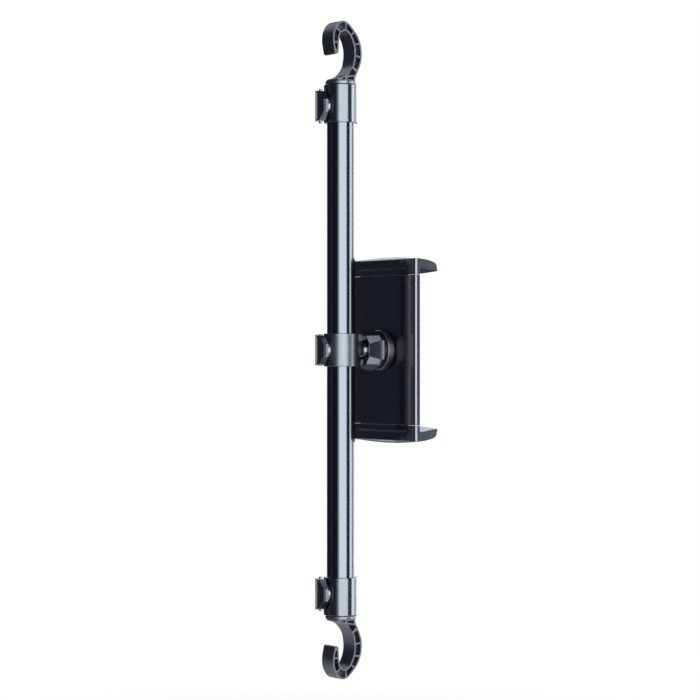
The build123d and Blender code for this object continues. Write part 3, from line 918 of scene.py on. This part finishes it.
@dataclass(frozen=True)
class BallNut:
    """The tightening nut: five flats between five facets that widen to the rear, and a dished mouth.

    Attributes:
        levels: Each section's distance from the rod, and its reach to the flats and the facets.
    """

    lobes: int = 5
    levels: tuple[tuple[float, float, float], ...] = (
        (21.2, 15.6, 16.0), (33.6, 17.2, 19.3), (36.8, 17.6, 19.3),
    )
    mouth_r: float = 14.6
    hole_r: float = 8.4
    hole_reach: float = 24.4
    bore_r: float = 12.65
    bore_reach: float = 25.8
    chamfer: float = 0.4
    overrun: float = 1.0
    edge: float = 0.45
    sharp: float = 20.0

    def section(self, level: float, flat: float, facet: float) -> list[Vector]:
        """Draws a ten-sided section whose sides are flats and facets in turn.

        Args:
            level: The section's distance from the rod.
            flat: Its reach to the flats.
            facet: Its reach to the facets.

        Returns:
            The section's corners.
        """
        turn = math.pi / self.lobes
        corners = []
        for index in range(2 * self.lobes):
            near, far = (flat, facet) if index % 2 == 0 else (facet, flat)
            along = (far - near * math.cos(turn)) / math.sin(turn)
            angle = math.pi + index * turn
            x = near * math.cos(angle) - along * math.sin(angle)
            y = near * math.sin(angle) + along * math.cos(angle)
            corners.append(TO_TABLET @ Vector((x, y, level)))
        return corners

    def build(self, surfaces: Surfaces) -> None:
        """Adds the nut.

        Args:
            surfaces: The materials.
        """
        shape = Shape().loft([self.section(*level) for level in self.levels])
        nut = shape.piece("Ball_nut", surfaces[Slot.GLOSS])
        front = self.levels[0][0]
        back = self.levels[-1][0]
        mouth = [
            (0.0, front - self.overrun),
            (self.mouth_r + self.chamfer, front - self.overrun),
            (self.mouth_r, front + self.chamfer / 2),
            (self.hole_r + self.chamfer, self.hole_reach - self.chamfer / 2),
            (self.hole_r, self.hole_reach + self.chamfer / 2),
            (self.hole_r, self.bore_reach),
            (self.bore_r, self.bore_reach),
            (self.bore_r, back + self.overrun),
            (0.0, back + self.overrun),
        ]
        cutter = Shape().lathe(mouth, TO_TABLET, segments=128).piece("Mouth", surfaces[Slot.GLOSS])
        carve(nut, cutter, self.sharp)
        soften(nut, self.edge, 3, self.sharp)
        settle(nut, "nut", Slot.GLOSS, "ball_nut")


@dataclass(frozen=True)
class BallStud:
    """The turned stud between the middle collar and the ball joint, with its ball."""

    neck_r: float = 4.75
    neck_rim: float = 0.5
    profile: tuple[Point, ...] = (
        (0.0, 14.5), (6.0, 14.5), (6.0, 17.9), (4.75, 17.9), (4.75, 20.65),
    )
    ball_r: float = 8.5
    ball_reach: float = 27.7
    ball_steps: int = 24

    def build(self, surfaces: Surfaces) -> None:
        """Adds the stud.

        Args:
            surfaces: The materials.
        """
        start = math.asin(self.neck_r / self.ball_r)
        ball = []
        for step in range(self.ball_steps):
            turn = start + (math.pi - start) * step / self.ball_steps
            ball.append((self.ball_r * math.sin(turn), self.ball_reach - self.ball_r * math.cos(turn)))
        pole = (0.0, self.ball_reach + self.ball_r)
        neck = rounded(self.profile, self.neck_rim, 3)[4:]
        shape = Shape().lathe([self.profile[0], *neck, *ball, pole], TO_TABLET, segments=96)
        settle(shape.piece("Ball_stud", surfaces[Slot.GLOSS]), "slide_collar", Slot.GLOSS, "ball_stud")


@dataclass(frozen=True)
class Jaws:
    """The two spring jaws: a crowned cap with a lip, and a forked tongue in the shell.

    Attributes:
        crown: How much higher the cap's top stands at its middle than at its ends.
        sag: How much lower the lip's underside hangs at its middle.
        back_depth: The Ys between which the back's slope comes in.
        top_levels: The heights between which the crown comes in.
        top_reach: The Ys between which the crown comes in.
        under_levels: The heights between which the sag comes in.
        under_reach: The Ys between which the sag comes in.
        groove_half: Half the length of the groove across the cap's back.
        groove_span: The heights between which the profile's groove lies.
        stations: Distances from the middle at which the cap has a section.
        profile: The cap's outline at the middle, as (Y, Z), for the upper jaw.
    """

    half: float = 51.6
    side_round: float = 3.0
    panel_half: float = 22.0
    back: float = -44.5
    shoulder: float = -46.9
    crown: float = 2.9
    sag: float = 2.2
    edge: float = 0.7
    tongue_half: float = 36.0
    tongue_end: float = 9.0
    tongue_low: float = 47.7
    tongue_high: float = 50.3
    slot_half: float = 4.0
    slot_top: float = 52.0
    back_depth: Point = (-50.5, -44.5)
    top_levels: Point = (76.0, 81.0)
    top_reach: Point = (-45.5, -56.5)
    under_levels: Point = (76.0, 74.5)
    under_reach: Point = (-58.0, -66.0)
    groove_half: float = 38.7
    groove_span: Point = (74.5, 76.4)
    groove_depth: float = 1.1
    tongue_root: float = 70.5
    tongue_edge: float = 0.3
    tongue_corner: float = 1.5
    profile_corner: float = 0.7
    stations: tuple[float, ...] = (
        *(0.0, 7.0, 14.0, 22.0, 30.0),
        *(38.0, 38.4, 39.2, 39.6),
        *(48.6, 49.6, 50.4, 51.0, 51.4, 51.6),
    )
    profile: tuple[Point, ...] = (
        (-52.5, 69.5), (-44.5, 69.5), (-44.5, 74.9), (-45.3, 75.15), (-45.3, 75.65), (-44.5, 75.9),
        (-44.5, 83.6), (-45.4, 84.3), (-48.0, 84.35), (-50.5, 84.3), (-53.0, 84.15), (-56.0, 83.85),
        (-60.0, 83.3), (-63.0, 82.7), (-66.0, 82.0), (-69.8, 80.6), (-71.5, 78.8), (-72.7, 73.3),
        (-72.0, 72.7), (-62.6, 73.9), (-54.4, 75.3), (-52.9, 75.1), (-52.5, 74.4),
    )

    def plan_back(self, x: float) -> float:
        """Finds where the holder's back is.

        Args:
            x: Distance from the middle.

        Returns:
            The Y there.
        """
        reach = abs(x)
        flat = self.half - self.side_round
        if reach <= self.panel_half:
            return self.back
        if reach <= flat:
            share = (reach - self.panel_half) / (flat - self.panel_half)
            return self.back + (self.shoulder - self.back) * share
        rise = math.sqrt(max(self.side_round**2 - (reach - flat) ** 2, 0.0))
        return self.shoulder - (self.side_round - rise)

    def _bend(self, x: float, y: float, z: float) -> Vector:
        """Bends a point of the cap's straight profile.

        Args:
            x: Distance from the middle.
            y: The profile's Y.
            z: The profile's Z.

        Returns:
            The point of the crowned top, the sagging lip or the sloping back.
        """
        grooved = self.groove_span[0] < z < self.groove_span[1] and y > self.back - self.groove_depth
        if grooved and abs(x) > self.groove_half:
            y = self.back
        y += (self.plan_back(x) - self.back) * ramp(y, *self.back_depth)
        lift = self.crown * ramp(z, *self.top_levels) * math.sin(math.pi / 2 * ramp(y, *self.top_reach))
        lift -= self.sag * ramp(z, *self.under_levels) * ramp(y, *self.under_reach)
        return Vector((x, y, z + lift * (1 - (x / self.half) ** 2)))

    def build(self, surfaces: Surfaces) -> None:
        """Adds the two jaws.

        Args:
            surfaces: The materials.
        """
        across = [*(-x for x in reversed(self.stations[1:])), *self.stations]
        profile = rounded(self.profile, self.profile_corner, 3)
        arm = [
            (self.tongue_half, self.tongue_root),
            (self.tongue_half, self.tongue_end),
            (self.slot_half, self.tongue_end),
            (self.slot_half, self.slot_top),
        ]
        fork = rounded([(-x, z) for x, z in arm] + arm[::-1], self.tongue_corner)
        for end in ENDS:
            shape = Shape()
            shape.loft([[self._bend(x, y, z) for y, z in profile] for x in across], self.edge)
            cap = at_end(shape, end).piece(f"{end.capitalize()}_jaw", surfaces[Slot.GLOSS])
            settle(cap, f"{end}_jaw_slider", Slot.GLOSS, f"{end}_jaw")
            tongue = Shape().prism(fork, self.tongue_low, self.tongue_high, TO_TABLET, self.tongue_edge)
            obj = at_end(tongue, end).piece(f"{end.capitalize()}_jaw_tongue", surfaces[Slot.PLASTIC])
            settle(obj, f"{end}_jaw_slider", Slot.PLASTIC)


@dataclass(frozen=True)
class Knobs:
    """The three octagonal clamp knobs, each with a grip across it and a pocket on each side.

    Attributes:
        flat: Distance of the flats from the knob's axis.
        base: The knob's distance from the rod's axis.
        rim: Height of the upright wall.
        grip: Height of the grip.
        sink: How far the blocks reach into the knob, and the inset of a pocket's floor.
        slope_lean: How far a slope's normal leans outwards, at least and at most, as a cosine.
    """

    flat: float = 13.6
    base: float = 16.4
    rim: float = 4.2
    grip: float = 8.1
    grip_half: float = 0.6
    grip_half_length: float = 14.2
    pocket_inset: float = 1.5
    pocket_depth: float = 0.7
    lug_half: float = 2.4
    lug_low: float = 2.0
    lug_high: float = 4.2
    end_lug: float = 15.8
    mid_lug: float = 14.6
    edge: float = 0.35
    block_corner: float = 0.5
    sink: float = 0.4
    grip_low: float = 1.5
    lug_sink: float = 1.0
    slope_lean: Point = (0.8, 0.999)

    def octagon(self, flat: float, level: float, place: Matrix) -> list[Vector]:
        """Draws an octagon with two upright flats.

        Args:
            flat: Distance of its flats from the middle.
            level: Its place along the drawing's z.
            place: Where the drawing's axes go.

        Returns:
            The octagon's corners.
        """
        radius = flat / math.cos(math.pi / 8)
        turns = (math.pi / 8 + math.tau * index / 8 for index in range(8))
        return [place @ Vector((radius * math.cos(t), radius * math.sin(t), level)) for t in turns]

    def block(self, shape: Shape, half: float, ends: Point, levels: Point, place: Matrix) -> None:
        """Adds a block to a knob.

        Args:
            shape: The knob's shape.
            half: The block's reach either side of the drawing's middle.
            ends: Where it starts and ends along the drawing's y.
            levels: Where it starts and ends along the drawing's z.
            place: Where the drawing's axes go.
        """
        corners = oblong(-half, half, *ends)
        shape.prism(rounded(corners, self.block_corner), *levels, place, self.edge)

    def build(self, surfaces: Surfaces) -> None:
        """Adds the three knobs.

        Args:
            surfaces: The materials.
        """
        for name, height, lug in (
            ("upper", CLAMP_Z, self.end_lug),
            ("middle", 0.0, self.mid_lug),
            ("lower", -CLAMP_Z, self.end_lug),
        ):
            place = clamp_place(height) @ Matrix.Translation((0.0, 0.0, self.base))
            levels = (0.0, self.rim, self.grip)
            shape = Shape().loft([self.octagon(self.flat, level, place) for level in levels])
            for side in (1, -1):
                fall = Vector((side * (self.grip - self.rim), 0.0, self.flat - self.grip_half))
                shape.cut(place @ Vector((side * self.grip_half, 0.0, self.grip)), place.to_3x3() @ fall)
            outward = place.to_3x3() @ Vector((0.0, 0.0, 1.0))
            least, most = self.slope_lean
            slopes = [face for face in shape.bm.faces if least < face.normal.dot(outward) < most]
            for thickness, depth in ((self.pocket_inset, 0.0), (self.sink, -self.pocket_depth)):
                bmesh.ops.inset_individual(shape.bm, faces=slopes, thickness=thickness, depth=depth)
            reach = self.grip_half_length
            self.block(shape, self.grip_half + self.sink, (-reach, reach), (self.grip_low, self.grip), place)
            inside = self.flat - self.lug_sink
            for ends in ((inside, lug), (-lug, -inside)):
                self.block(shape, self.lug_half, ends, (self.lug_low, self.lug_high), place)
            obj = shape.piece(f"{name.capitalize()}_knob", surfaces[Slot.GLOSS])
            soften(obj, self.edge, 2)
            settle(obj, f"{name}_knob_turner", Slot.GLOSS, f"{name}_knob")


@dataclass(frozen=True)
class Shell:
    """The holder's back cover: a shell whose back falls away smoothly to both sides.

    Attributes:
        panel_half: Half the width of the flat part of the back.
        back: The Y of the flat part.
        shoulder: The Y that the back has fallen to where a corner starts.
        front: The Y of the side walls' front edges.
    """

    half: float = 51.6
    panel_half: float = 22.0
    back: float = -44.5
    shoulder: float = -46.9
    front: float = -52.5
    height: float = 69.2
    wall: float = 1.7
    corner: float = 3.0
    edge: float = 0.3
    slope_steps: int = 10
    corner_steps: int = 8

    def back_line(self, inset: float) -> list[Point]:
        """Draws half of the back's plan.

        Args:
            inset: How far the line is moved in.

        Returns:
            Points from the middle to the corner.
        """
        flat = self.half - self.corner
        line = []
        for step in range(self.slope_steps + 1):
            share = step / self.slope_steps
            x = self.panel_half + (flat - self.panel_half) * share
            line.append((x, self.back + (self.shoulder - self.back) * share**2 - inset))
        lean = 2 * (self.shoulder - self.back) / (flat - self.panel_half)
        bend = math.atan(lean)
        centre = Vector((flat, self.shoulder - self.corner))
        radius = self.corner - inset
        for step in range(self.corner_steps + 1):
            turn = (math.pi / 2 + bend) * (1 - step / self.corner_steps)
            line.append((centre.x + radius * math.cos(turn), centre.y + radius * math.sin(turn)))
        return line

    def build(self, surfaces: Surfaces) -> None:
        """Adds the shell.

        Args:
            surfaces: The materials.
        """
        outer = self.back_line(0.0)
        inner = self.back_line(self.wall)
        outer.append((self.half, self.front))
        inner.append((self.half - self.wall, self.front))
        half = [*outer, *reversed(inner)]
        outline = [*half, *((-x, y) for x, y in reversed(half))]
        shape = Shape().prism(outline, -self.height, self.height, UPRIGHT, self.edge)
        obj = shape.piece("Back_cover", surfaces[Slot.GLOSS])
        settle(obj, "holder", Slot.GLOSS, "back_cover")


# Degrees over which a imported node's edge is rounded
NODE_SHARP = 38.0
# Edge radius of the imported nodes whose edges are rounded
SOFTENED: dict[str, float] = {
    "front_cover": 0.5,
    "ball_socket": 0.5,
}


@dataclass(frozen=True)
class Lamp:
    """A soft lamp, placed by its bearing from the camera's own, seen from above.

    Attributes:
        name: The lamp's name.
        bearing: Degrees to the right of the camera.
        height: Degrees over the horizon.
        distance: Metres from the object.
        width: Metres across.
        tall: Metres from top to bottom.
        radiance: Brightness of its face, where 1 is white.
        color: Linear tint, a cool white.
    """

    name: str
    bearing: float
    height: float
    distance: float
    width: float
    tall: float
    radiance: float
    color: tuple[float, float, float] = (0.83, 0.905, 1.0)


@dataclass(frozen=True)
class Studio:
    """The camera, the lamps and the pale floor.

    Attributes:
        bearing: Degrees that the camera stands turned from +Y towards -X.
        distance: The camera's distance from the target.
        lens: Its focal length, over a sensor of sensor_width.
        clip_end: How far it sees, in metres.
        floor_grey: The floor's linear colour in all three channels.
        fade: Shares of the floor's radius between which it fades to white.
    """

    bearing: float = 55.0
    distance: float = 2300.0
    lens: float = 128.06
    sensor_width: float = 36.0
    clip_end: float = 20.0
    target: tuple[float, float, float] = (-4.8, -6.8, 0.0)
    floor_z: float = -420.0
    floor_r: float = 900.0
    floor_grey: float = 0.9
    floor_roughness: float = 0.8
    fade: Point = (0.25, 0.92)
    world_color: tuple[float, float, float] = (0.6, 0.75, 1.0)
    world_strength: float = 0.07
    lamps: tuple[Lamp, ...] = (
        Lamp("Key lamp", 15.5, 0.0, 3.4, 4.05, 3.8, 5.9),
        Lamp("Key fade", -22.0, 0.0, 3.4, 0.6, 3.8, 1.1),
        Lamp("Side lamp", 89.0, 0.0, 2.6, 1.2, 3.2, 5.9),
        Lamp("Rim lamp", 140.0, 4.0, 3.0, 3.2, 2.6, 3.4),
        Lamp("Back lamp", 178.0, 14.0, 3.0, 2.6, 1.6, 0.95),
        Lamp("Left lamp", -86.0, 0.0, 3.0, 0.7, 2.4, 0.12),
        Lamp("Seam lamp", -145.0, 36.0, 2.6, 1.4, 0.9, 1.0),
        Lamp("High lamp", 43.0, 62.0, 2.4, 1.3, 1.2, 1.7),
        Lamp("Low lamp", 43.0, -60.0, 0.44, 0.22, 0.2, 1.8),
    )

    def _toward(self, bearing: float, height: float) -> Vector:
        """Works out the way from the object to a bearing.

        Args:
            bearing: Degrees to the right of the camera.
            height: Degrees over the horizon.

        Returns:
            The unit vector.
        """
        turn = math.radians(self.bearing + bearing)
        rise = math.radians(height)
        return Vector((-math.sin(turn) * math.cos(rise), math.cos(turn) * math.cos(rise), math.sin(rise)))

    @staticmethod
    def _aim(obj: bpy.types.Object, place: Vector, target: Vector) -> None:
        """Puts obj at place with its -Z towards the target."""
        obj.location = place
        obj.rotation_euler = (target - place).to_track_quat("-Z", "Y").to_euler()

    def camera(self) -> None:
        """Adds the camera at the photograph's viewing angle."""
        data = bpy.data.cameras.new("Camera")
        data.lens = self.lens
        data.sensor_width = self.sensor_width
        data.clip_end = self.clip_end
        camera = show("Camera", data)
        target = Vector(self.target) * MM
        self._aim(camera, target + self._toward(0.0, 0.0) * self.distance * MM, target)
        bpy.context.scene.camera = camera

    def light(self) -> None:
        """Adds the lamps and a dim world that only the camera sees as white."""
        for lamp in self.lamps:
            data = bpy.data.lights.new(lamp.name, "AREA")
            data.shape = "RECTANGLE"
            data.size = lamp.width
            data.size_y = lamp.tall
            data.energy = lamp.radiance * math.pi * lamp.width * lamp.tall
            data.color = lamp.color
            obj = show(lamp.name, data)
            obj.visible_camera = False
            self._aim(obj, self._toward(lamp.bearing, lamp.height) * lamp.distance, Vector())
            log.info("lamp %s", lamp.name)
        world = bpy.data.worlds.new("World")
        bpy.context.scene.world = world
        world.use_nodes = True
        tree = world.node_tree
        dim = tree.nodes["Background"]
        dim.inputs["Color"].default_value = (*self.world_color, 1.0)
        dim.inputs["Strength"].default_value = self.world_strength
        white = new_node(tree, "ShaderNodeBackground", {"Color": (1.0, 1.0, 1.0, 1.0)})
        path = new_node(tree, "ShaderNodeLightPath")
        mix = new_node(tree, "ShaderNodeMixShader")
        wire(
            tree,
            (path.outputs["Is Camera Ray"], mix.inputs["Fac"]),
            (dim.outputs[0], mix.inputs[1]),
            (white.outputs[0], mix.inputs[2]),
            (mix.outputs[0], tree.nodes["World Output"].inputs["Surface"]),
        )

    def floor(self) -> None:
        """Adds a round pale floor under the hanging object, which fades to white at its rim."""
        bm = bmesh.new()
        bmesh.ops.create_circle(bm, cap_ends=True, segments=96, radius=self.floor_r * MM)
        bmesh.ops.translate(bm, verts=bm.verts, vec=(0.0, 0.0, self.floor_z * MM))
        mesh = bpy.data.meshes.new("Floor")
        bm.to_mesh(mesh)
        bm.free()
        floor = show("Floor", mesh)
        material = bpy.data.materials.new("Pale floor")
        material.use_nodes = True
        tree = material.node_tree
        shader = tree.nodes["Principled BSDF"]
        shader.inputs["Base Color"].default_value = (*[self.floor_grey] * 3, 1.0)
        shader.inputs["Roughness"].default_value = self.floor_roughness
        reach = self.floor_r * MM
        place = new_node(tree, "ShaderNodeTexCoord")
        flat = new_node(tree, "ShaderNodeVectorMath", {1: (1.0, 1.0, 0.0)}, operation="MULTIPLY")
        length = new_node(tree, "ShaderNodeVectorMath", operation="LENGTH")
        span = {"From Min": self.fade[0] * reach, "From Max": self.fade[1] * reach}
        fade = new_node(tree, "ShaderNodeMapRange", span, interpolation_type="SMOOTHSTEP")
        path = new_node(tree, "ShaderNodeLightPath")
        seen = new_node(tree, "ShaderNodeMath", operation="MULTIPLY")
        glow = new_node(tree, "ShaderNodeEmission")
        mix = new_node(tree, "ShaderNodeMixShader")
        wire(
            tree,
            (place.outputs["Object"], flat.inputs[0]),
            (flat.outputs[0], length.inputs[0]),
            (length.outputs["Value"], fade.inputs["Value"]),
            (fade.outputs["Result"], seen.inputs[0]),
            (path.outputs["Is Camera Ray"], seen.inputs[1]),
            (seen.outputs[0], mix.inputs["Fac"]),
            (shader.outputs[0], mix.inputs[1]),
            (glow.outputs[0], mix.inputs[2]),
            (mix.outputs[0], tree.nodes["Material Output"].inputs["Surface"]),
        )
        floor.data.materials.append(material)


class Frame:
    """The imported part: its nodes, and the slot of each."""

    def __init__(self) -> None:
        """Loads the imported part."""
        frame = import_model()
        self.nodes: dict[str, bpy.types.Object] = frame["nodes"]
        parts = frame["record"]["subparts"]
        self.slots = {part["node"]: Slot(part["material_slot"]) for part in parts}

    def dress(self, surfaces: Surfaces, softened: dict[str, float]) -> None:
        """Gives every node its material, and rounds the edges of the nodes in softened.

        Args:
            surfaces: The materials.
            softened: Edge radius of each node whose edges are rounded, in millimetres.
        """
        for name, node in self.nodes.items():
            node.data.materials.clear()
            node.data.materials.append(surfaces[self.slots[name]])
            if name in softened:
                soften(node, softened[name], 2, NODE_SHARP, False)
            log.info("node %s: %s", name, self.slots[name].value)


def write_size() -> None:
    """Brings the view layer up to date."""
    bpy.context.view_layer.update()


def main() -> None:
    """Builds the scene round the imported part."""
    logging.basicConfig(level=logging.INFO, format="%(name)s %(message)s")
    frame = Frame()
    write_size()
    surfaces = Surfaces(FINISHES)
    frame.dress(surfaces, SOFTENED)
    for assembly in (Rod(), Collars(), Hooks(), Knobs(), BallStud(), BallNut(), Shell(), Jaws()):
        assembly.build(surfaces)
    studio = Studio()
    studio.camera()
    studio.light()
    studio.floor()
    bpy.context.scene.view_settings.view_transform = "Standard"
    write_size()


if __name__ == "__main__":
    main()
